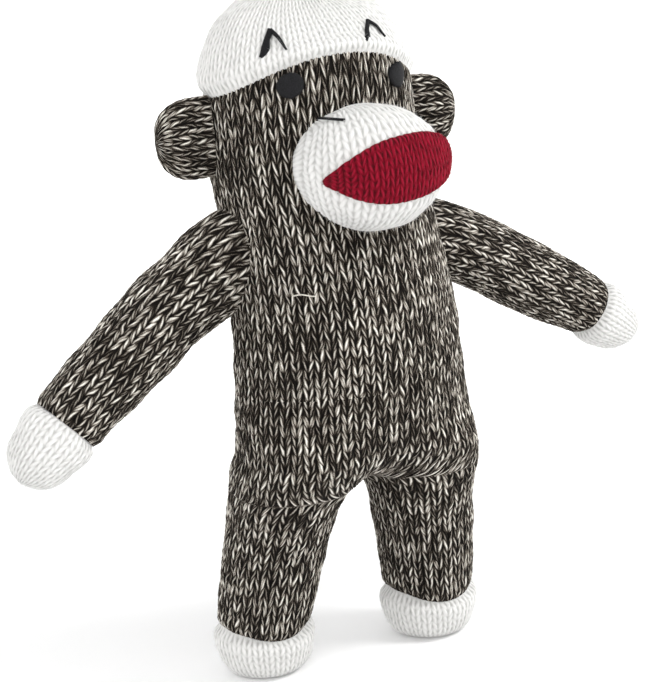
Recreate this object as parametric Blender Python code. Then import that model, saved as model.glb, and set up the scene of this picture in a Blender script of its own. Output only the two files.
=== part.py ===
"""A stuffed sock monkey: knitted covers over loose stuffing, with the head, ears, arms and legs on hinges.

The monkey faces -Y and stands on Z = 0. Left and right are its own, so its left side is at +X.
All sizes are in metres. Each fabric piece is a thin open shell, and each filling is a solid inside it.
"""
import bpy
import bmesh
from math import cos, pi, radians, sin, sqrt
from mathutils import Matrix, Vector

# Driving dimensions
HEIGHT = 0.250
COVER = 0.0016            # thickness of the knitted fabric
GAP = 0.0003              # clearance between pieces that touch
SIDES = 20                # points in each ring of a lofted piece

HIP_Z = 0.084             # axis on which the legs swing
HIP_RADIUS = 0.030        # rounded top of each leg, about the hip axis
HIP_Y = -0.0120
WAIST_Z = 0.1050          # lower end of the body tube
NECK_Y = -0.006
NECK_Z = 0.1613           # plane in which the head turns
NECK_EDGE = 0.0030        # how far the head's lower edge is drawn in, clear of the shoulders
BRIM_Z = 0.2105           # lower edge of the white crown, at the sides
BRIM_ARCH = 0.0120        # how much higher that edge runs at the front and back
CROWN_FLARE = 0.0008      # how much wider the crown is than the head at its edge
SEAM_BULGE = 0.0045       # how far the wrist and ankle edges run towards the tips at front and back

SHOULDER = {"left": Vector((0.0515, -0.006, 0.1535)), "right": Vector((-0.0515, -0.006, 0.1555))}
SHOULDER_RADIUS = 0.0148
WRIST = 0.070             # distance from the shoulder's axis to the white hand
ARM_REACH = 0.0935        # distance from the shoulder's axis to the fingertips
ARM_DROOP = {"left": 34, "right": 43}     # degrees below the horizontal
ARM_FULLNESS = {"left": 0.95, "right": 1.02}

ANKLE_Z = 0.0195
FOOT_X = {"left": 0.0330, "right": 0.0340}  # how far each foot stands from the middle
FOOT_Y = {"left": 0.001, "right": 0.006}

EAR_ROOT = Vector((0.0440, 0.000, 0.1980))
EAR_REACH = 0.0142
EAR_HALF_HEIGHT = 0.0145
EAR_HALF_THICK = 0.0050
# The ear's outline: distance from its root, half height and half thickness, as shares of the whole
EAR = [(0.0, 0.86, 0.80), (0.25, 1.0, 1.0), (0.5, 0.95, 1.0), (0.72, 0.78, 0.90), (0.9, 0.52, 0.68),
       (1.0, 0.24, 0.36)]

MUZZLE_CENTRE = Vector((0, -0.0370, 0.1838))
MUZZLE_SIZE = Vector((0.0265, 0.0315, 0.0214))   # half sizes of the dome

EYE_X, EYE_Z = 0.0197, 0.2125
EYE_RADIUS = 0.0040
BROW_X, BROW_Z = 0.0185, 0.2280
BROW_BEND = [(-0.0022, -0.0035), (-0.0012, -0.0005), (-0.0004, 0.0022), (0.0012, 0.0008), (0.0034, -0.0016)]
NOSTRIL_X, NOSTRIL_Z = -0.0128, 0.2012
THREAD = 0.0006           # thickness of an embroidered stroke
LIP_WIDTH, LIP_HEIGHT, LIP_Z = 0.0455, 0.0207, 0.1850
LIP_THICKNESS = 0.0014
DOME_WIDTH, DOME_DEPTH = 2.1, 2.3         # fullness of the muzzle's outline and of its profile
LEG_TOP_X = 0.0219
COVER_RISE = 0.012        # how far a leg's cover reaches above the hip axis, inside the body
STUFFING_RISE = 0.026     # and how far its filling does
TOP_TAPER = 0.0120        # how much narrower each half of a leg's rounded top gets by its highest point

# The body tube and the head are one stack of ovals: height, half width, half depth, place along Y
TRUNK = [(0.100, 0.0432, 0.0325, -0.0130), (0.115, 0.0420, 0.0330, -0.0140), (0.140, 0.0404, 0.0328, -0.0130),
         (0.1645, 0.0390, 0.0322, -0.0075), (0.183, 0.0385, 0.0318, -0.0015), (0.200, 0.0378, 0.0318, 0.0),
         (0.2130, 0.0380, 0.0322, 0.0)]
# A leg below the hip axis: height, half width, half depth
LEG = [(0.0840, 0.0215, 0.0295), (0.0790, 0.0204, 0.0272), (0.0715, 0.0186, 0.0237), (0.0600, 0.0177, 0.0205),
       (0.0450, 0.0172, 0.0184), (0.0300, 0.0168, 0.0172), (ANKLE_Z, 0.0165, 0.0168)]
FOOT = [(0.0120, 0.0170, 0.0172), (0.0060, 0.0160, 0.0162), (0.0020, 0.0140, 0.0145), (0.0, 0.0115, 0.0122)]
# An arm beyond its round shoulder: distance along the arm, radius
ARM = [(0.012, 0.0135), (0.035, 0.0130), (0.055, 0.0127), (WRIST, 0.0125)]
HAND = [(0.078, 0.0128), (0.086, 0.0112), (0.091, 0.0075), (ARM_REACH, 0.0030)]

KNIT = {"brown": (0.105, 0.085, 0.072), "white": (0.80, 0.79, 0.77), "red": (0.36, 0.008, 0.022),
        "black": (0.018, 0.018, 0.021), "fill": (0.82, 0.80, 0.75)}


def clear_scene():
    for old in list(bpy.data.objects):
        bpy.data.objects.remove(old, do_unlink=True)


def material(node, colour):
    """Make a piece's own cloth material."""
    made = bpy.data.materials.new(node)
    made.use_nodes = True
    shader = made.node_tree.nodes["Principled BSDF"]
    shader.inputs["Base Color"].default_value = (*KNIT[colour], 1)
    shader.inputs["Roughness"].default_value = 0.9
    shader.inputs["Metallic"].default_value = 0
    return made


def interpolate(table, height):
    """Read a table of (height, half width, half depth) at a height between two of its rows."""
    rows = sorted(table)
    height = min(max(height, rows[0][0]), rows[-1][0])
    for low, high in zip(rows, rows[1:]):
        if height <= high[0]:
            share = (height - low[0]) / (high[0] - low[0])
            return [a + (b - a) * share for a, b in zip(low[1:], high[1:])]
    return list(rows[-1][1:])


def oval(centre, half_x, half_y, frame=None, bulge=0.0, sides=SIDES):
    """Make a ring in a frame's XY plane; bulge lifts its +Y and -Y ends along the frame's Z."""
    frame = frame or Matrix.Identity(3)
    points = []
    for i in range(sides):
        angle = 2 * pi * i / sides
        across = Vector((half_x * cos(angle), half_y * sin(angle), bulge * sin(angle) ** 2))
        points.append(Vector(centre) + frame @ across)
    return points


def loft(rings, loop=False):
    """Skin a list of rings. The ends are capped, unless the last ring joins the first as a loop."""
    mesh = bmesh.new()
    levels = [[mesh.verts.new(point) for point in ring] for ring in rings]
    pairs = list(zip(levels, levels[1:]))
    if loop:
        pairs.append((levels[-1], levels[0]))
    else:
        mesh.faces.new(levels[0])
        mesh.faces.new(levels[-1])
    for low, high in pairs:
        for i in range(len(low)):
            after = (i + 1) % len(low)
            mesh.faces.new((low[i], low[after], high[after], high[i]))
    bmesh.ops.recalc_face_normals(mesh, faces=mesh.faces)
    return mesh


def whereabouts(thing):
    """Add up the places of an object and its parents, which carry no rotation or scale."""
    place = Vector((0, 0, 0))
    while thing:
        place += thing.location
        thing = thing.parent
    return place


def node(name, mesh, colour, pivot=None, parent=None):
    """Turn a bmesh in world space into a named object whose origin is its pivot."""
    pivot = Vector(pivot) if pivot else Vector((0, 0, 0))
    bmesh.ops.translate(mesh, vec=-pivot, verts=mesh.verts)
    data = bpy.data.meshes.new(name)
    mesh.to_mesh(data)
    mesh.free()
    data.shade_smooth()
    data.set_sharp_from_angle(angle=radians(40))
    thing = bpy.data.objects.new(name, data)
    bpy.context.scene.collection.objects.link(thing)
    thing.data.materials.append(material(name, colour))
    thing.location = pivot - whereabouts(parent)
    thing.parent = parent
    return thing


def cutter(name, mesh, parent):
    """Make a hidden solid that other pieces are cut by."""
    thing = node(name, mesh, "fill", parent=parent)
    thing.hide_render = True
    thing.display_type = "WIRE"
    return thing


def cut(thing, tool):
    """Cut one piece by a hidden solid."""
    step = thing.modifiers.new(tool.name, "BOOLEAN")
    step.operation = "DIFFERENCE"
    step.solver = "EXACT"
    step.object = tool


def empty(name, place, parent):
    """Make the empty that marks a joint's centre and carries what moves with it."""
    mark = bpy.data.objects.new(name, None)
    mark.empty_display_size = 0.01
    bpy.context.scene.collection.objects.link(mark)
    mark.location = Vector(place) - whereabouts(parent)
    mark.parent = parent
    return mark


def shell(outer, inner, open_start, open_end):
    """Skin a cover from its outer and inner rings: a sleeve if both ends are open, a cup if one is."""
    if open_start and open_end:
        return loft(outer + inner[::-1], loop=True)
    if open_start:
        return loft(outer[::-1] + inner)
    return loft(outer + inner[::-1])


def ball(centre, radius):
    """Make a ball."""
    mesh = bmesh.new()
    bmesh.ops.create_uvsphere(mesh, u_segments=32, v_segments=16, radius=radius)
    bmesh.ops.translate(mesh, vec=centre, verts=mesh.verts)
    return mesh


def bar_along_x(radius, half_length, place):
    """Make a round bar along X."""
    mesh = bmesh.new()
    turn = Matrix.Translation(place) @ Matrix.Rotation(pi / 2, 4, "Y")
    bmesh.ops.create_cone(mesh, cap_ends=True, segments=64, radius1=radius, radius2=radius,
                          depth=2 * half_length, matrix=turn)
    return mesh


def trunk_ring(height, inset=0.0, bulge=0.0):
    half_x, half_y, middle = interpolate(TRUNK, height)
    return oval((0, middle, height), half_x - inset, half_y - inset, bulge=bulge)


def heights(low, high):
    """List the trunk's own levels between two heights, with both ends."""
    return [low] + [row[0] for row in TRUNK if low + 0.002 < row[0] < high - 0.002] + [high]


def make_torso(root):
    """Make the body tube and its filling, with the hollows that the arms and legs turn in."""
    levels = heights(WAIST_Z, NECK_Z)
    cover = node("torso_cover", shell([trunk_ring(z) for z in levels],
                                      [trunk_ring(z, COVER) for z in levels], True, True),
                 "brown", parent=root)
    filling = node("torso_stuffing", loft([trunk_ring(z, COVER + GAP) for z in levels]), "fill", parent=root)
    hip = bar_along_x(HIP_RADIUS + 0.0005, 0.06, (0, HIP_Y, HIP_Z))
    cut(filling, cutter("hip_clearance", hip, root))
    for side, place in SHOULDER.items():
        hollow = cutter(f"shoulder_clearance_{side}", ball(place, SHOULDER_RADIUS + 0.0007), root)
        cut(cover, hollow)
        cut(filling, hollow)


def crown_width(share):
    """Give the crown's width, as a share of its width at the brim, at a share of its height."""
    return (1 - share ** 2.6) ** (1 / 2.2)


def crown_depth(share):
    """Give its depth in the same way: the top closes in a seam from ear to ear, so it is thinner."""
    return (1 - share ** 1.6) ** 0.85


def head_rings(inset):
    """Make the brown head's rings, which rise towards the front and back as they near the crown."""
    levels = heights(NECK_Z + GAP, BRIM_Z)
    flat = levels[2]
    edge = trunk_ring(levels[0], inset + NECK_EDGE)
    rises = [BRIM_ARCH * max(0.0, (z - flat) / (BRIM_Z - flat)) for z in levels[1:]]
    return [edge] + [trunk_ring(z, inset, rise) for z, rise in zip(levels[1:], rises)]


def make_head(neck):
    """Make the brown head, the white crown over it, and the filling of both."""
    node("head_cover", shell(head_rings(0), head_rings(COVER), True, True), "brown", parent=neck)
    top = BRIM_Z

    half_x, half_y, _ = interpolate(TRUNK, top)
    rows = [0.0, 0.15, 0.35, 0.55, 0.72, 0.86, 0.95, 0.985]

    def crown(inset, lift):
        rings = []
        for share in rows:
            z = top + lift + (HEIGHT - inset - top - lift) * share
            reach = (1.0 - share) ** 1.5
            rings.append(oval((0, 0, z), (half_x + CROWN_FLARE - inset) * crown_width(share),
                              (half_y + CROWN_FLARE - inset) * crown_depth(share), bulge=BRIM_ARCH * reach))
        return rings

    node("cap", shell(crown(0, GAP), crown(COVER, GAP), True, False), "white", parent=neck)
    filled = head_rings(COVER + GAP)[:-1] + crown(COVER + GAP + CROWN_FLARE, GAP)
    node("head_stuffing", loft(filled), "fill", parent=neck)


def dome(lift):
    """Make the rings of the muzzle's dome, from its back to its tip."""
    rings = []
    size = MUZZLE_SIZE + Vector((lift, lift, lift))
    front = Matrix.Rotation(pi / 2, 3, "X")
    for share in (0.0, 0.17, 0.34, 0.5, 0.66, 0.8, 0.9, 0.965):
        width = (1 - share ** DOME_DEPTH) ** (1 / DOME_WIDTH)
        place = MUZZLE_CENTRE + Vector((0, -size.y * share, 0))
        rings.append(oval(place, size.x * width, size.z * width, frame=front))
    return rings


def dome_front(x, z):
    """Give the muzzle's front surface at a width and height, as a point and a unit normal."""
    across = (x / MUZZLE_SIZE.x) ** 2 + ((z - MUZZLE_CENTRE.z) / MUZZLE_SIZE.z) ** 2
    share = max(1 - across ** (DOME_WIDTH / 2), 0.0) ** (1 / DOME_DEPTH)
    return Vector((x, MUZZLE_CENTRE.y - MUZZLE_SIZE.y * share, z))


def trunk_front(x, z):
    """Give the point on the head's front at a width and height."""
    half_x, half_y, middle = interpolate(TRUNK, z)
    return Vector((x, middle - half_y * sqrt(1 - (x / half_x) ** 2), z))


def crown_front(x, z):
    """Give the point on the white crown's front at a width and height."""
    brim_x, brim_y, _ = interpolate(TRUNK, BRIM_Z)
    share = 0.5
    for _ in range(30):
        half_x = (brim_x + CROWN_FLARE) * crown_width(share)
        half_y = (brim_y + CROWN_FLARE) * crown_depth(share)
        facing = 1 - (x / half_x) ** 2
        lifted = z - BRIM_Z - BRIM_ARCH * (1 - share) ** 1.5 * facing
        share += 0.6 * (lifted / (HEIGHT - BRIM_Z) - share)
    return Vector((x, -half_y * sqrt(facing), z))


def normal_of(surface, x, z):
    """Work out a front surface's outward normal from two short steps along it."""
    step = 0.0004
    across = surface(x + step, z) - surface(x - step, z)
    up = surface(x, z + step) - surface(x, z - step)
    return across.cross(up).normalized()


def patch(rows, surface, thickness):
    """Lay a sheet on a front surface. Each row is a list of (x, z) points, and all rows are equally long."""
    mesh = bmesh.new()

    def layer(lift):
        return [[mesh.verts.new(surface(x, z) + normal_of(surface, x, z) * lift) for x, z in row]
                for row in rows]

    low, high = layer(2 * GAP), layer(2 * GAP + thickness)
    last_row, last = len(rows) - 1, len(rows[0]) - 1
    for i in range(last_row):
        for j in range(last):
            for grid in (low, high):
                mesh.faces.new((grid[i][j], grid[i + 1][j], grid[i + 1][j + 1], grid[i][j + 1]))
    rim = [(i, 0) for i in range(last_row)] + [(last_row, j) for j in range(last)]
    rim += [(i, last) for i in range(last_row, 0, -1)] + [(0, j) for j in range(last, 0, -1)]
    for here, there in zip(rim, rim[1:] + rim[:1]):
        mesh.faces.new((low[here[0]][here[1]], low[there[0]][there[1]],
                        high[there[0]][there[1]], high[here[0]][here[1]]))
    bmesh.ops.recalc_face_normals(mesh, faces=mesh.faces)
    return mesh


def lip_rows():
    """Outline the almond-shaped lips as columns of points from their lower to their upper edge."""
    rows = []
    for i in range(13):
        across = -1 + 2 * i / 12
        half = LIP_HEIGHT / 2 * max((1 - abs(across) ** 2.1), 0.05)
        rows.append([(LIP_WIDTH / 2 * across, LIP_Z + half * (-1 + j / 2)) for j in range(5)])
    return rows


def stroke_rows(points, half_width):
    """Widen a bent stroke of (x, z) points into pairs of points, thin at both its ends."""
    rows = []
    for i, (x, z) in enumerate(points):
        before, after = points[max(i - 1, 0)], points[min(i + 1, len(points) - 1)]
        along = Vector((after[0] - before[0], after[1] - before[1])).normalized()
        half = half_width * (0.35 if i in (0, len(points) - 1) else 1)
        rows.append([(x + along.y * half * turn, z - along.x * half * turn) for turn in (-1, 1)])
    return rows


def disc(place, normal, radius, thickness):
    """Make a low round button lying on a surface."""
    turn = Vector((0, 0, 1)).rotation_difference(normal).to_matrix()
    rings = []
    for share, lift in ((0.9, 0.0), (1.0, 0.35), (0.85, 0.8), (0.5, 1.0)):
        rings.append(oval(place + normal * (2 * GAP + thickness * lift), radius * share, radius * share,
                          frame=turn, sides=16))
    return loft(rings)


def make_face(neck):
    """Make the muzzle, the lips, the nostril stitch, the eyes and the eyebrows."""
    head = cutter("head_clearance", loft([trunk_ring(NECK_Z - 0.004, -GAP)] + head_rings(-GAP)), neck)
    cover = node("muzzle_cover", shell(dome(0), dome(-COVER), True, False), "white", parent=neck)
    cut(cover, head)
    filling = node("muzzle_stuffing", loft(dome(-COVER - GAP)), "fill", parent=neck)
    cut(filling, head)
    node("lip_patch", patch(lip_rows(), dome_front, LIP_THICKNESS), "red", parent=neck)
    nostril = [(NOSTRIL_X - 0.0018, NOSTRIL_Z - 0.0006), (NOSTRIL_X, NOSTRIL_Z),
               (NOSTRIL_X + 0.0018, NOSTRIL_Z)]
    node("nostril_stitch", patch(stroke_rows(nostril, 0.0005), dome_front, THREAD), "black", parent=neck)
    for side, sign in (("left", 1), ("right", -1)):
        place = trunk_front(sign * EYE_X, EYE_Z)
        normal = normal_of(trunk_front, sign * EYE_X, EYE_Z)
        node(f"eye_{side}", disc(place, normal, EYE_RADIUS, 0.0008), "black", parent=neck)
        brow = [(sign * BROW_X + dx, BROW_Z + dz) for dx, dz in BROW_BEND]
        node(f"eyebrow_{side}", patch(stroke_rows(brow, 0.0006), crown_front, THREAD), "black", parent=neck)


def make_ear(side, sign, neck):
    """Make one half-round ear, a flat pouch that folds along the line where it is sewn to the head."""
    root = Vector((sign * EAR_ROOT.x, EAR_ROOT.y, EAR_ROOT.z))
    hinge = empty(f"ear_{side}_axis", root, neck)
    frame = Matrix(((0, 0, sign), (1, 0, 0), (0, 1, 0)))

    def rings(inset):
        made = []
        for reach, high, thick in EAR:
            made.append(oval(root + Vector((sign * (EAR_REACH - inset) * reach, 0, 0)),
                             (EAR_HALF_THICK - inset) * thick, (EAR_HALF_HEIGHT - inset) * high,
                             frame=frame, sides=16))
        return made

    node(f"ear_{side}_cover", shell(rings(0), rings(COVER), True, False), "brown", pivot=root, parent=hinge)
    node(f"ear_{side}_padding", loft(rings(COVER + GAP)), "fill", pivot=root, parent=hinge)


def make_arm(side, sign, root):
    """Make one arm: a brown sleeve and a white hand over one filling, on the shoulder's axis."""
    place = SHOULDER[side]
    hinge = empty(f"shoulder_{side}_axis", place, root)
    droop = radians(ARM_DROOP[side])
    along = Vector((sign * cos(droop), 0, -sin(droop)))
    side_way = Vector((0, 0, 1)).cross(along).normalized()
    frame = Matrix((along.cross(side_way), side_way, along)).transposed()

    def ring(reach, radius, inset, bulge=0.0):
        full = radius * ARM_FULLNESS[side] - inset
        return oval(place + along * reach, full, full, frame=frame, bulge=bulge)

    def shoulder(inset, start):
        """Make the rings of the round shoulder, from an angle behind its axis to its widest ring."""
        angles = [radians(start + (68 - start) * i / 4) for i in range(5)]
        whole = SHOULDER_RADIUS - inset
        return [oval(place - along * whole * cos(a), whole * sin(a), whole * sin(a), frame=frame)
                for a in angles]

    def sleeve(inset):
        bulges = [0, 0.2 * SEAM_BULGE, 0.6 * SEAM_BULGE, SEAM_BULGE]
        made = shoulder(inset, 62) if inset <= COVER else shoulder(inset, 12)
        made += [ring(reach, radius, inset, bulge) for (reach, radius), bulge in zip(ARM, bulges)]
        return made

    def hand(inset, start):
        made = [ring(WRIST + start, ARM[-1][1], inset, SEAM_BULGE)] if start else []
        bulges = [0.6 * SEAM_BULGE, 0.2 * SEAM_BULGE, 0, 0]
        made += [ring(reach - (inset if reach == ARM_REACH else 0), max(radius, inset + 0.0012), inset, bulge)
                 for (reach, radius), bulge in zip(HAND, bulges)]
        return made

    node(f"arm_{side}_sleeve", shell(sleeve(0), sleeve(COVER), True, True), "brown",
         pivot=place, parent=hinge)
    node(f"hand_{side}_cover", shell(hand(0, GAP), hand(COVER, GAP), True, False), "white",
         pivot=place, parent=hinge)
    node(f"arm_{side}_stuffing", loft(sleeve(COVER + GAP) + hand(COVER + GAP, 0)), "fill",
         pivot=place, parent=hinge)


def make_leg(side, sign, root):
    """Make one leg: a brown cover and a white foot over one filling, on the hip's axis."""
    place = Vector((sign * LEG_TOP_X, HIP_Y, HIP_Z))
    hinge = empty(f"hip_{side}_axis", place, root)

    def centre(z):
        share = min(max((HIP_Z - z) / (HIP_Z - ANKLE_Z), 0.0), 1.0)
        x = LEG_TOP_X + (FOOT_X[side] - LEG_TOP_X) * share ** 0.7
        return Vector((sign * x, HIP_Y + (FOOT_Y[side] - HIP_Y) * share, z))

    def ring(row, inset, bulge=0.0):
        z, half_x, half_y = row
        return oval(centre(z), half_x - inset, half_y - inset, bulge=bulge)

    def top(inset, rise):
        """Make the rings of the rounded top, from a height above the hip axis down to it."""
        whole = HIP_RADIUS - inset
        made = []
        for share in (1.0, 0.8, 0.55, 0.3):
            lift = rise * share
            half_y = sqrt(whole ** 2 - lift ** 2)
            half_x = LEG[0][1] - TOP_TAPER * (lift / HIP_RADIUS) ** 2 - inset
            made.append(oval(centre(HIP_Z) + Vector((0, 0, lift)), half_x, half_y))
        return made

    bulges = [-SEAM_BULGE * max(0.0, (0.045 - row[0]) / (0.045 - ANKLE_Z)) for row in LEG]

    def brown(inset, rise):
        return top(inset, rise) + [ring(row, inset, bulge) for row, bulge in zip(LEG, bulges)]

    def white(inset, gap):
        made = [ring((ANKLE_Z - gap, LEG[-1][1], LEG[-1][2]), inset, -SEAM_BULGE)] if gap else []
        bends = [-0.5 * SEAM_BULGE, -0.15 * SEAM_BULGE, 0, 0]
        made += [ring((row[0] + (inset if row[0] < 0.003 else 0), row[1], row[2]), inset, bend)
                 for row, bend in zip(FOOT, bends)]
        return made

    node(f"leg_{side}_cover", shell(brown(0, COVER_RISE), brown(COVER, COVER_RISE), True, True), "brown",
         pivot=place, parent=hinge)
    node(f"foot_{side}_cover", shell(white(0, GAP), white(COVER, GAP), True, False), "white",
         pivot=place, parent=hinge)
    node(f"leg_{side}_stuffing", loft(brown(COVER + GAP, STUFFING_RISE) + white(COVER + GAP, 0)), "fill",
         pivot=place, parent=hinge)


def stand_on_origin(root):
    """Move the whole toy so that the middle of its outline is over the origin."""
    bpy.context.view_layer.update()
    view = bpy.context.evaluated_depsgraph_get()
    corners = [thing.matrix_world @ vertex.co for thing in bpy.data.objects
               if thing.type == "MESH" and not thing.hide_render
               for vertex in thing.evaluated_get(view).data.vertices]
    for axis in (0, 1):
        values = [corner[axis] for corner in corners]
        root.location[axis] = -(min(values) + max(values)) / 2


def main():
    clear_scene()
    root = empty("monkey", (0, 0, 0), None)
    make_torso(root)
    neck = empty("neck_axis", (0, NECK_Y, NECK_Z), root)
    make_head(neck)
    make_face(neck)
    for side, sign in (("left", 1), ("right", -1)):
        make_ear(side, sign, neck)
        make_arm(side, sign, root)
        make_leg(side, sign, root)
    stand_on_origin(root)


main()
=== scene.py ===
from math import cos, pi, radians, sin, sqrt

import bpy
import numpy as np
from mathutils import Matrix, Vector


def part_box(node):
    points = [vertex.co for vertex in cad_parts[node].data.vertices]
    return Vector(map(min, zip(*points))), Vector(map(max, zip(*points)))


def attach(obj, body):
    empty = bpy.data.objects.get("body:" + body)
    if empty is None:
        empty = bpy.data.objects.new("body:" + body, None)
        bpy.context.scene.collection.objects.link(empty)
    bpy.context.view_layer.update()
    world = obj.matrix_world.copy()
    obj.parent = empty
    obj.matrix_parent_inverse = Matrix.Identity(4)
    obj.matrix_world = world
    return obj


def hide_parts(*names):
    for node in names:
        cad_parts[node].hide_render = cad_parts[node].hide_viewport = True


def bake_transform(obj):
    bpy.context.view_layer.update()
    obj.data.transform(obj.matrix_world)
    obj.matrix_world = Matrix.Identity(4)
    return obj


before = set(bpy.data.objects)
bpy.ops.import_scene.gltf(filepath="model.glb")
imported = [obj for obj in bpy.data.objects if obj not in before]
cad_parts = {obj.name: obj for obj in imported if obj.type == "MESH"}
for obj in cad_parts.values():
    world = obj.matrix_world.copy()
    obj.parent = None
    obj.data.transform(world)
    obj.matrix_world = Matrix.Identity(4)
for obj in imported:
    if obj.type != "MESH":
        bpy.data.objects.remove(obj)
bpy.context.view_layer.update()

# ---------------------------------------------------------------- sizes, in metres from the toy's own axis
torso_low, torso_high = (np.array(corner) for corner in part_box("torso_cover"))
ear_low, ear_high = (np.array(corner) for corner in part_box("ear_left_cover"))
AXIS = np.array([(torso_low[0] + torso_high[0]) / 2, (ear_low[1] + ear_high[1]) / 2, 0.0])
HEIGHT = 0.2470

# Height, half width, half depth and middle of the body and head, then height, half width and depth of a leg
TRUNK = np.array([(0.100, 0.0432, 0.0325, -0.0130), (0.115, 0.0420, 0.0330, -0.0140),
                  (0.140, 0.0404, 0.0328, -0.0130), (0.1645, 0.0390, 0.0322, -0.0075),
                  (0.183, 0.0385, 0.0318, -0.0015), (0.200, 0.0378, 0.0318, 0.0),
                  (0.2130, 0.0380, 0.0322, 0.0)])
LEG = np.array([(0.0195, 0.0165, 0.0168), (0.0300, 0.0168, 0.0172), (0.0450, 0.0172, 0.0184),
                (0.0600, 0.0177, 0.0205), (0.0715, 0.0186, 0.0237), (0.0790, 0.0204, 0.0272),
                (0.0840, 0.0215, 0.0295)])
# The knit's own thickness, and the filling that spreads it where the legs meet the body
LEG[:, 1] *= np.array([1.03, 1.05, 1.07, 1.08, 1.10, 1.06, 1.01])
LEG[:, 2] *= np.array([1.00, 1.01, 1.02, 1.04, 1.05, 1.05, 1.05])
HIP_Z, HIP_Y = 0.084, -0.0120
LEG_TOP_X = {1: 0.0238, -1: 0.0214}
ANKLE_Z, SEAM_BULGE = 0.0195, 0.0045
FOOT_X = {1: 0.0330, -1: 0.0340}
FOOT_Y = {1: 0.001, -1: 0.006}
FOOT = [(1.0, 1.0), (0.62, 1.055), (0.30, 1.0), (0.10, 0.86), (0.0, 0.66), (0.0, 0.30), (0.0, 0.02)]

CROTCH_LOW, WAIST, NECK = 0.064, 0.108, 0.150            # where the leg, body and head skins meet
BRIM_Z, BRIM_ARCH, CROWN_FLARE, CROWN_SLOPE = 0.2105, 0.0120, 0.0004, 0.82
ARCH_START = 0.170
SHOULDER = {1: np.array((0.0515, -0.006, 0.1535)), -1: np.array((-0.0515, -0.006, 0.1555))}
DROOP = {1: radians(34), -1: radians(43)}
ARM_FULLNESS = {1: 0.95, -1: 1.02}
ARM_SAG = 0.0030                      # how far the soft arm hangs below the straight line to its wrist
ROOT_HALF_HEIGHT = {1: 0.0150, -1: 0.0180}
WRIST, ARM_REACH = 0.070, 0.0935
EAR_ROOT, EAR_REACH, EAR_HALF_HEIGHT, EAR_HALF_THICK = np.array((0.0440, 0.0, 0.1968)), 0.0150, 0.0137, 0.0052
MUZZLE_CENTRE, MUZZLE_SIZE = np.array((0.0, -0.0370, 0.1838)), np.array((0.0247, 0.0315, 0.0212))
DOME_WIDTH, DOME_DEPTH = 2.1, 2.3
LIP_WIDTH, LIP_HEIGHT, LIP_Z = 0.0446, 0.0199, 0.1853
EYE_X, EYE_Z, EYE_RADIUS = 0.0197, 0.2125, 0.0040
BROW_X, BROW_Z = {1: 0.0135, -1: 0.0190}, 0.2270
NOSTRIL_X, NOSTRIL_Z = -0.0140, 0.2012

X, Y, Z = np.eye(3)
WALES = 56                            # stitch columns round the body
COURSE = 0.0032                       # height of one row of stitches
WHITE_COURSE = COURSE * 0.92
ACROSS, UP = 10, 8                    # grid cells in one stitch
BROWN_RELIEF, WHITE_RELIEF, RED_RELIEF = 0.00060, 0.00046, 0.00034
SEAM_DEPTH, SEAM_WIDTH = 0.0011, 0.0016
LEAN = 0.33                           # how far a stitch's two legs slant, in half wales to a course
LUMPINESS = 0.55
FIBRE_RADIUS = 0.000035
OUTLINE, RAYS = 240, 300              # points of a ring before it is spaced evenly
HALF = WALES // 2

# Where the cloth bends: from the still part to the moving one
NECK_BEND_TOP, NECK_BEND_Y = 0.176, -0.006
HIP_BEND_Z, HIP_BEND_LENGTH, HIP_BEND_ANGLE = 0.080, 0.028, radians(60)
ARM_BEND = (0.020, 0.024)
EAR_BEND = (0.006, 0.003)

rng = np.random.default_rng(11)
WAVES = [(rng.normal(size=3) / length, rng.uniform(0, 2 * pi), size)
         for length, size in ((0.0026, 0.00022), (0.0030, 0.00020), (0.0045, 0.00032), (0.0050, 0.00030),
                              (0.0080, 0.00045), (0.0095, 0.00045))]


def lumps(points):
    """The uneven filling under the knit: a few slow waves through space."""
    total = np.zeros(points.shape[:-1])
    for direction, phase, size in WAVES:
        total = total + LUMPINESS * size * np.sin(points @ direction + phase)
    return total


def curve(table, at):
    """Reads smooth columns of a table at values of its first column."""
    at = np.clip(at, table[0, 0], table[-1, 0])
    x, y = table[:, 0], table[:, 1:]
    slope = np.gradient(y, x, axis=0)
    i = np.clip(np.searchsorted(x, at, side="right") - 1, 0, len(x) - 2)
    step = (x[i + 1] - x[i])[..., None]
    t = (at - x[i])[..., None] / step
    return ((2 * t**3 - 3 * t**2 + 1) * y[i] + (t**3 - 2 * t**2 + t) * step * slope[i]
            + (3 * t**2 - 2 * t**3) * y[i + 1] + (t**3 - t**2) * step * slope[i + 1])


# ---------------------------------------------------------------- the stitch, as numbers and as shader nodes
class Wire:
    """A shader value that takes ordinary arithmetic."""

    def __init__(self, tree, socket):
        self.tree, self.socket = tree, socket

    def math(self, kind, *others, clamp=False):
        node = self.tree.nodes.new("ShaderNodeMath")
        node.operation, node.use_clamp = kind, clamp
        for slot, value in zip(node.inputs, (self,) + others):
            if isinstance(value, Wire):
                self.tree.links.new(value.socket, slot)
            else:
                slot.default_value = float(value)
        return Wire(self.tree, node.outputs[0])

    def __add__(self, other): return self.math("ADD", other)
    def __radd__(self, other): return self.math("ADD", other)
    def __sub__(self, other): return self.math("SUBTRACT", other)
    def __rsub__(self, other): return self.math("MULTIPLY", -1.0).math("ADD", other)
    def __mul__(self, other): return self.math("MULTIPLY", other)
    def __rmul__(self, other): return self.math("MULTIPLY", other)
    def __truediv__(self, other): return self.math("DIVIDE", other)


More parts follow.
